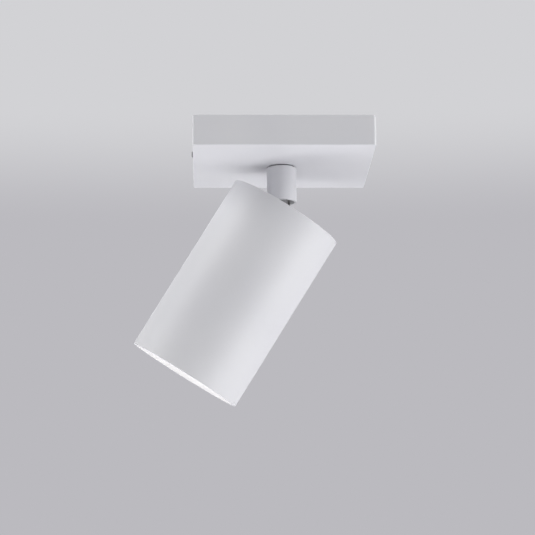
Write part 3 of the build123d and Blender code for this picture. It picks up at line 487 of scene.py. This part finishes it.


# ---------------------------------------------------------------- lead sleeve
# Braided glass-fibre sleeving, varnished, round the three cores. It runs from the nipple down
# through the tilt joint.
joints = {joint["name"]: joint for joint in frame["joints"]}
tilt_joint = Vector(joints["head_tilt"]["pos_m"])
head_down = Vector(joints["lamp_twist"]["axis"])
sleeve_radius = 2.1  # this and the strands in mm
strands_each_way = 12
strand_pitch_mm = 9.0
strand_height = 0.05
crossing_height = 0.03
sleeve_sides = 96
sleeve_step = 0.00022


def braid_radius(angle, run):
    """Radius over the braid: two families of strands that pass over and under in turn."""
    lay = 2 * math.pi * run * 1000 / strand_pitch_mm
    left = math.cos(strands_each_way * (angle + lay))
    right = math.cos(strands_each_way * (angle - lay))
    over = math.cos(strands_each_way * angle) * math.cos(strands_each_way * lay)
    strands = strand_height * (max(left, 0) + max(right, 0))
    return (sleeve_radius + strands + crossing_height * over) / 1000


def varnished_braid():
    """Pale glass yarn under clear varnish, its tone uneven in fine patches."""
    braid, nodes, links, shader = new_finish("varnished_glass_braid")
    yarn = grain(nodes, links, size_mm=0.3, detail=3.0)
    tint(nodes, links, yarn, shade(196, 190, 172), shade(232, 228, 216), shader)
    sheen_of(nodes, links, yarn, 0.40, 0.62, shader)
    relief(nodes, links, yarn, 0.02, shader)
    return braid


braid_line = centre_line([(0, 0, -10.6), (0, 0, -33.0), (0, 0, -42.0), (-3.18, 0.47, -47.07)])
braid_points = even_steps(braid_line, sleeve_step)
sleeve = round_section_along("braided_sleeve", braid_points, sleeve_sides, braid_radius)
sleeve.data.materials.append(varnished_braid())
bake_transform(sleeve)
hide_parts("lead_sleeve")


# ---------------------------------------------------------------- leads through the tilt joint
# The three cores inside the sleeve. Live and neutral go straight down into the
# lampholder's well; the earth turns off between the ears to the yoke's tag.
joint_cores = (
    ("live_core", "live_lead", "brown_lead", brown_silicone, [
        (-0.37, 0.93, -10.6), (-0.37, 0.93, -32.8), (-0.37, 0.93, -41.85),
        (-5.1, 1.63, -49.4), (-9.83, 2.33, -56.93),
    ]),
    ("neutral_core", "neutral_lead", "blue_lead", blue_silicone, [
        (-0.62, -0.78, -10.6), (-0.62, -0.78, -32.8), (-0.62, -0.78, -41.85),
        (-5.35, -0.08, -49.4), (-10.09, 0.62, -56.93),
    ]),
    ("earth_core", "earth_lead", "green_lead", earth_silicone, [
        (0.99, -0.15, -10.6), (0.99, -0.15, -32.5), (0.99, -0.15, -42.29), (-2.34, 0.35, -47.6),
        (-3.39, 0.65, -50.23), (-2.73, 1.69, -52.68), (-0.5, 2.35, -54.03), (1.75, 3.02, -55.37),
    ]),
)
for core_name, solid, slot, finish, stops in joint_cores:
    core = insulated_core(core_name, stops, finish, step_mm=0.4)
    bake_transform(core)
    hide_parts(solid)


# ---------------------------------------------------------------- tilt ears, screws and washers
# Two pressed ears riveted to the yoke and tapped on the tilt axis. Low-head
# screws come in through the prongs, over spring washers, and pinch nylon
# friction washers so that the head stays where it is put.
dress(rolled_zinc, "swivel_ears")
dress(small_zinc, "tilt_screws", "ear_rivets")
dress(sprung, "tilt_spring_washers")
dress(
    moulded("natural_nylon", shade(214, 208, 188), shade(226, 221, 204), smooth=0.35, rough=0.5),
    "tilt_friction_washers",
)


# ---------------------------------------------------------------- rear cap
# Disc stamped from steel with the swivel slot, powder coated white. Two
# countersunk zinc plated screws hold it to the yoke inside.
dress(white_coat, "rear_cap")
dress(small_zinc, "yoke_screws")


# ---------------------------------------------------------------- head tube
# Aluminium tube, cut, faced and powder coated white inside and out. The rear
# cap drops into its step; the lamp sits deep inside the mouth.
dress(white_coat, "head_tube")


# ---------------------------------------------------------------- tilt yoke
# Hanger bent from 2 mm zinc plated steel: flanges under the rear cap, two legs
# and the strap that carries the ears and the lampholder, with its earth screw.
dress(rolled_zinc, "tilt_yoke")
dress(brass, "head_earth_screw")
dress(tinned, "head_earth_tag")


# ---------------------------------------------------------------- lampholder
# Two-part twist-lock lampholder in white steatite ceramic, pressed, fired and
# part glazed, with sprung bronze contacts and two fixing screws.
def steatite():
    """Fired ceramic: warm white, cloudy in tone, with fine pits under a thin glaze."""
    ceramic, nodes, links, shader = new_finish("white_steatite")
    body = grain(nodes, links, size_mm=6.0, detail=2.0)
    pits = grain(nodes, links, size_mm=0.5, detail=4.0)
    tint(nodes, links, body, shade(226, 221, 208), shade(236, 232, 222), shader)
    sheen_of(nodes, links, pits, 0.24, 0.55, shader)
    relief(nodes, links, pits, 0.01, shader)
    return ceramic


def sheet_bronze():
    """Thin rolled bronze strip."""
    bronze, nodes, links, shader = new_finish("sheet_bronze")
    rolling = grain(nodes, links, size_mm=0.5, detail=2.0, stretch=(0.1, 1, 1))
    tint(nodes, links, rolling, shade(176, 124, 78), shade(204, 152, 100), shader)
    sheen_of(nodes, links, rolling, 0.22, 0.38, shader)
    relief(nodes, links, rolling, 0.004, shader)
    shader.inputs["Metallic"].default_value = 1.0
    return bronze


dress(steatite(), "lampholder_base", "lampholder_faceplate")
dress(sheet_bronze(), "lampholder_contacts")
dress(small_zinc, "lampholder_screws")


# ---------------------------------------------------------------- anti-glare ring
# White moulded ring pushed up the tube in front of the lamp's rim, so that the
# gap round the lamp isn't seen and the light leaves the mouth cleanly.
ring_moulding = moulded(
    "white_ring_moulding", shade(228, 228, 228), shade(233, 233, 233), smooth=0.45, rough=0.6
)
dress(ring_moulding, "anti_glare_ring")


# ---------------------------------------------------------------- lamp housing and pins
# Twist-lock lamp: white thermoplastic housing moulded round its circuit, with
# two nickel plated pins pressed into the neck.
def nickel_plate():
    """Nickel on brass pins, a little warmer than zinc."""
    nickel, nodes, links, shader = new_finish("nickel_plate")
    lathe = grain(nodes, links, size_mm=0.4, detail=2.0)
    tint(nodes, links, lathe, shade(186, 180, 168), shade(206, 201, 190), shader)
    sheen_of(nodes, links, lathe, 0.18, 0.30, shader)
    relief(nodes, links, lathe, 0.004, shader)
    shader.inputs["Metallic"].default_value = 1.0
    return nickel


dress(
    moulded("lamp_moulding", shade(229, 229, 228), shade(235, 235, 234), smooth=0.25, rough=0.36),
    "lamp_shell",
)
dress(nickel_plate(), "lamp_pins")


# ---------------------------------------------------------------- lamp circuit
# Green driver board upright in the neck, and the white-masked aluminium board
# across the flare, with its round yellow phosphor light source.
def solder_mask():
    """Green laminate: copper tracks show paler through the mask."""
    mask, nodes, links, shader = new_finish("green_solder_mask")
    place = nodes.new("ShaderNodeTexCoord")
    tracks = nodes.new("ShaderNodeTexVoronoi")
    tracks.feature = "DISTANCE_TO_EDGE"
    tracks.inputs["Scale"].default_value = 320.0
    links.new(place.outputs["Object"], tracks.inputs["Vector"])
    ramp = nodes.new("ShaderNodeValToRGB")
    ramp.color_ramp.elements[0].position = 0.10
    ramp.color_ramp.elements[0].color = shade(70, 138, 84)
    ramp.color_ramp.elements[1].position = 0.16
    ramp.color_ramp.elements[1].color = shade(34, 92, 52)
    links.new(tracks.outputs["Distance"], ramp.inputs["Fac"])
    links.new(ramp.outputs["Color"], shader.inputs["Base Color"])
    relief(nodes, links, tracks.outputs["Distance"], 0.02, shader)
    shader.inputs["Roughness"].default_value = 0.3
    return mask


def phosphor():
    """Yellow phosphor gel that glows when the lamp is on."""
    gel, nodes, links, shader = new_finish("phosphor_gel")
    cloud = grain(nodes, links, size_mm=1.0, detail=2.0)
    tint(nodes, links, cloud, shade(226, 190, 84), shade(240, 208, 104), shader)
    sheen_of(nodes, links, cloud, 0.3, 0.4, shader)
    shader.inputs["Emission Color"].default_value = shade(255, 236, 190)
    shader.inputs["Emission Strength"].default_value = 2.0
    return gel


dress(solder_mask(), "lamp_driver_board")
board_mask = moulded(
    "white_board_mask", shade(222, 222, 220), shade(232, 232, 230),
    smooth=0.3, rough=0.42, grain_mm=0.8, depth_mm=0.01,
)
dress(board_mask, "lamp_led_board")
dress(phosphor(), "lamp_led_chip")


# ---------------------------------------------------------------- lamp reflector
# Plastic cone from the light source to the lens, moulded with small facets and
# metallised bright.
def bright_metallising():
    """Vacuum metallised plastic with small hammered facets."""
    mirror, nodes, links, shader = new_finish("bright_metallising")
    place = nodes.new("ShaderNodeTexCoord")
    facets = nodes.new("ShaderNodeTexVoronoi")
    facets.inputs["Scale"].default_value = 420.0
    links.new(place.outputs["Object"], facets.inputs["Vector"])
    hammering = facets.outputs["Distance"]
    tint(nodes, links, hammering, shade(226, 226, 226), shade(240, 240, 240), shader)
    relief(nodes, links, hammering, 0.12, shader)
    shader.inputs["Metallic"].default_value = 1.0
    shader.inputs["Roughness"].default_value = 0.12
    return mirror


dress(bright_metallising(), "lamp_reflector")


# ---------------------------------------------------------------- lamp lens
# Frosted polycarbonate disc snapped into the housing's rim. A honeycomb of small
# domes inside its plain edge spreads the beam. The lamp is lit, so it glows.
def run_down_head(node):
    """Where a piece starts and ends along the head, measured down from the tilt joint."""
    knots = frame["nodes"][node].data.vertices
    runs = [(knot.co - tilt_joint).dot(head_down) for knot in knots]
    return min(runs), max(runs)


def reach_from_head_line(node):
    """A piece's greatest distance from the middle line of the head."""
    spokes = [knot.co - tilt_joint for knot in frame["nodes"][node].data.vertices]
    return max((spoke - spoke.dot(head_down) * head_down).length for spoke in spokes)


head_side = Vector(joints["head_tilt"]["axis"])
head_across = head_side.cross(-head_down)
lens_back, lens_front = run_down_head("lamp_lens")
lens_radius = reach_from_head_line("lamp_lens")
lens_rim = 0.0022  # width of the plain edge
lens_edge = 0.0002  # its bevels
hoop_points = 96
cell_sides = 6
cell_pitch = 0.0024
cell_corner = cell_pitch / math.sqrt(3)
cell_row = cell_pitch * math.sqrt(3) / 2
cell_rise = 0.00035
cell_sunk = 0.0001  # top of the domes below the plain edge
cell_steps = (0.78, 0.42)  # each dome's rings, as shares of its width
cell_foot = lens_front - cell_rise - cell_sunk
cell_field = lens_radius - lens_rim
crisp_bend = math.radians(40)  # edges that bend more stay crisp
lens_glow = 0.22  # in the middle of each dome
glow_at_rim = 0.6  # as a share of the glow in the lens's middle


def on_circle(radius, count, turn=0.0):
    """Evenly spaced points of a circle."""
    angles = [turn + 2 * math.pi * k / count for k in range(count)]
    return [(radius * math.cos(angle), radius * math.sin(angle)) for angle in angles]


def honeycomb_lens():
    """The lens: domed cells, the flat left round them, the plain edge and the back."""
    glass = bmesh.new()
    wrap = glass.loops.layers.uv.new("out_in_cell_and_lens")
    out_to, corners = {}, {}

    def knot(x, y, run, out_in_cell):
        vertex = glass.verts.new(tilt_joint + head_across * x + head_side * y + head_down * run)
        out_to[vertex] = (out_in_cell, math.hypot(x, y) / lens_radius)
        return vertex

    def shared_corner(x, y):
        place = (round(x * 1e5), round(y * 1e5))
        if place not in corners:
            corners[place] = knot(x, y, cell_foot, 1.0)
        return corners[place]

    def hexagon(x, y, radius):
        around = on_circle(radius, cell_sides, math.pi / cell_sides)
        return [(x + dx, y + dy) for dx, dy in around]

    def join(outer, inner):
        for k in range(len(outer)):
            after = (k + 1) % len(outer)
            glass.faces.new((outer[k], outer[after], inner[after], inner[k]))

    rows = int(cell_field / cell_row)
    for row in range(-rows, rows + 1):
        for column in range(-rows, rows + 1):
            x, y = cell_pitch * (column + row % 2 / 2), cell_row * row
            if math.hypot(x, y) + cell_corner > cell_field - lens_edge:
                continue
            ring = [shared_corner(*place) for place in hexagon(x, y, cell_corner)]
            for out in cell_steps:
                height = cell_foot + cell_rise * (1 - out**2)
                places = hexagon(x, y, cell_corner * out)
                inner = [knot(*place, height, out) for place in places]
                join(ring, inner)
                ring = inner
            middle = knot(x, y, cell_foot + cell_rise, 0.0)
            for k in range(cell_sides):
                glass.faces.new((ring[k], ring[(k + 1) % cell_sides], middle))

    hoops = [
        [knot(x, y, run, 1.0) for x, y in on_circle(radius, hoop_points)]
        for radius, run in (
            (cell_field, cell_foot),
            (cell_field + lens_edge, lens_front),
            (lens_radius - lens_edge, lens_front),
            (lens_radius, lens_front - lens_edge),
            (lens_radius, lens_back),
        )
    ]
    for inner, outer in zip(hoops, hoops[1:]):
        join(outer, inner)
    glass.faces.new(hoops[-1])
    open_edges = [edge for edge in glass.edges if len(edge.link_faces) == 1]
    bmesh.ops.triangle_fill(glass, use_beauty=True, use_dissolve=False, edges=open_edges)
    bmesh.ops.recalc_face_normals(glass, faces=glass.faces)
    for face in glass.faces:
        face.smooth = len(face.verts) < hoop_points
        for loop in face.loops:
            loop[wrap].uv = out_to[loop.vert]
    valleys = set(corners.values())
    for edge in glass.edges:
        in_valley = valleys.issuperset(edge.verts)
        edge.smooth = not in_valley and edge.calc_face_angle(0) < crisp_bend
    return piece_from("honeycomb_lens", glass)


def frosted_lens():
    """Frosted moulding lit from behind: brightest in each dome's middle and in the lens's."""
    frosted, nodes, links, shader = new_finish("frosted_lens")
    frosting = grain(nodes, links, size_mm=0.25, detail=3.0)
    tint(nodes, links, frosting, shade(222, 221, 216), shade(230, 229, 225), shader)
    relief(nodes, links, frosting, 0.01, shader)
    out_to = nodes.new("ShaderNodeUVMap")
    out_to.uv_map = "out_in_cell_and_lens"
    split = nodes.new("ShaderNodeSeparateXYZ")
    links.new(out_to.outputs["UV"], split.inputs["Vector"])
    falls = []
    for axis, middle, edge in (("X", lens_glow, 0.0), ("Y", 1.0, glow_at_rim)):
        fall = nodes.new("ShaderNodeMapRange")
        fall.inputs["To Min"].default_value = middle
        fall.inputs["To Max"].default_value = edge
        links.new(split.outputs[axis], fall.inputs["Value"])
        falls.append(fall.outputs["Result"])
    glow = nodes.new("ShaderNodeMath")
    glow.operation = "MULTIPLY"
    links.new(falls[0], glow.inputs[0])
    links.new(falls[1], glow.inputs[1])
    links.new(glow.outputs[0], shader.inputs["Emission Strength"])
    shader.inputs["Emission Color"].default_value = shade(255, 246, 228)
    shader.inputs["Roughness"].default_value = 0.4
    return frosted


lens = honeycomb_lens()
lens.data.materials.append(frosted_lens())
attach(lens, "lamp")
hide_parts("lamp_lens")

beam_across = 0.040
beam_clear = 0.0012  # ahead of the lens
beam_watts = 0.0096
beam = bpy.data.objects.new("lamp_beam", bpy.data.lights.new("lamp_beam", "AREA"))
beam.data.shape = "DISK"
beam.data.size = beam_across
beam.data.energy = beam_watts
beam.data.color = (1.0, 0.97, 0.92)
beam.visible_camera = False
beam.visible_glossy = False
bpy.context.scene.collection.objects.link(beam)
beam_start = tilt_joint + head_down * (lens_front + beam_clear)
beam_turn = head_down.to_track_quat("-Z", "Y").to_matrix().to_4x4()
beam.matrix_world = Matrix.Translation(beam_start) @ beam_turn
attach(beam, "lamp")


# ---------------------------------------------------------------- studio
# Plain pale floor well below the lamp, a plain pale surround that is lighter
# overhead, and soft boxes on each side and behind the lamp, none at the camera.
floor_z = -1.25
floor_radius = 9.0
floor_tone = shade(192, 191, 196)
floor_glow_share = 0.9
surround_colour = shade(187, 186, 191)
overhead_colour = shade(210, 210, 213)
overhead_starts = math.sin(math.radians(12.4))  # heights on a dome of radius 1
overhead_reached = math.sin(math.radians(15.6))
surround_level = 0.33
boxes_aim = Vector((-0.02, 0, -0.06))
soft_boxes = (  # name, place, side in metres, watts
    ("right_low_box", (1.5, -0.5, -0.85), 1.1, 10.6),
    ("right_high_box", (1.4, -0.5, 0.8), 1.1, 13.1),
    ("right_side_box", (1.7, 0.1, -0.35), 0.8, 2.6),
    ("left_top_box", (-1.25, -0.3, 1.15), 0.8, 10.8),
    ("left_low_box", (-1.4, -0.5, -0.9), 1.1, 6.0),
    ("left_floor_box", (-1.3, 0.05, -1.0), 0.7, 6.5),
    ("under_box", (-0.1, -0.3, -1.15), 1.4, 2.5),
    ("back_floor_box", (0.1, 0.6, -1.12), 0.8, 1.9),
    ("back_high_box", (0.2, 1.8, 0.9), 1.4, 9.0),
)


def looked_at(nodes, links):
    """1 where the surface is seen straight, in a gloss or through glass, else 0."""
    ray = nodes.new("ShaderNodeLightPath")
    in_gloss = nodes.new("ShaderNodeMath")
    in_gloss.operation = "MAXIMUM"
    in_glass = nodes.new("ShaderNodeMath")
    in_glass.operation = "MAXIMUM"
    links.new(ray.outputs["Is Camera Ray"], in_gloss.inputs[0])
    links.new(ray.outputs["Is Glossy Ray"], in_gloss.inputs[1])
    links.new(in_gloss.outputs[0], in_glass.inputs[0])
    links.new(ray.outputs["Is Transmission Ray"], in_glass.inputs[1])
    return in_glass.outputs[0]


def pale_floor_paint():
    """Matt floor paint: mostly its own even tone to the eye, the rest keeps the lamp's shadow."""
    paint = moulded(
        "pale_floor_paint", shade(203, 203, 208), shade(206, 206, 210),
        smooth=0.6, rough=0.75, grain_mm=4.0, depth_mm=0.1,
    )
    nodes, links = paint.node_tree.nodes, paint.node_tree.links
    tone = nodes.new("ShaderNodeEmission")
    tone.inputs["Color"].default_value = floor_tone
    share = nodes.new("ShaderNodeMath")
    share.operation = "MULTIPLY"
    share.inputs[1].default_value = floor_glow_share
    lit_or_toned = nodes.new("ShaderNodeMixShader")
    links.new(looked_at(nodes, links), share.inputs[0])
    links.new(share.outputs[0], lit_or_toned.inputs["Fac"])
    links.new(nodes["Principled BSDF"].outputs[0], lit_or_toned.inputs[1])
    links.new(tone.outputs[0], lit_or_toned.inputs[2])
    links.new(lit_or_toned.outputs[0], nodes["Material Output"].inputs["Surface"])
    return paint


floor_shape = bmesh.new()
bmesh.ops.create_circle(floor_shape, cap_ends=True, segments=96, radius=floor_radius)
floor = piece_from("studio_floor", floor_shape)
floor.location = (0, 0, floor_z)
floor.data.materials.append(pale_floor_paint())

world = bpy.data.worlds.new("studio_surround")
bpy.context.scene.world = world
world.use_nodes = True
surround_nodes, surround_links = world.node_tree.nodes, world.node_tree.links
surround_nodes.clear()
ambient = surround_nodes.new("ShaderNodeBackground")
ambient.inputs["Color"].default_value = (1.0, 1.0, 1.0, 1)
ambient.inputs["Strength"].default_value = surround_level
direction = surround_nodes.new("ShaderNodeTexCoord")
split = surround_nodes.new("ShaderNodeSeparateXYZ")
height = surround_nodes.new("ShaderNodeMapRange")
height.interpolation_type = "SMOOTHSTEP"
height.inputs["From Min"].default_value = overhead_starts
height.inputs["From Max"].default_value = overhead_reached
wall_to_overhead = surround_nodes.new("ShaderNodeMix")
wall_to_overhead.data_type = "RGBA"
low_tone, high_tone, graded_tone = colour_sockets(wall_to_overhead)
low_tone.default_value = surround_colour
high_tone.default_value = overhead_colour
backdrop = surround_nodes.new("ShaderNodeBackground")
choose = surround_nodes.new("ShaderNodeMixShader")
out = surround_nodes.new("ShaderNodeOutputWorld")
surround_links.new(direction.outputs["Generated"], split.inputs["Vector"])
surround_links.new(split.outputs["Z"], height.inputs["Value"])
surround_links.new(height.outputs["Result"], wall_to_overhead.inputs["Factor"])
surround_links.new(graded_tone, backdrop.inputs["Color"])
surround_links.new(looked_at(surround_nodes, surround_links), choose.inputs["Fac"])
surround_links.new(ambient.outputs[0], choose.inputs[1])
surround_links.new(backdrop.outputs[0], choose.inputs[2])
surround_links.new(choose.outputs[0], out.inputs["Surface"])

for box_name, (x, y, z), size, watts in soft_boxes:
    soft_box = bpy.data.objects.new(box_name, bpy.data.lights.new(box_name, "AREA"))
    soft_box.data.shape = "SQUARE"
    soft_box.data.size = size
    soft_box.data.energy = watts
    soft_box.visible_camera = False
    soft_box.location = (x, y, z)
    aim = boxes_aim - Vector((x, y, z))
    soft_box.rotation_euler = aim.to_track_quat("-Z", "Y").to_euler()
    bpy.context.scene.collection.objects.link(soft_box)

bpy.context.scene.view_settings.view_transform = "Standard"
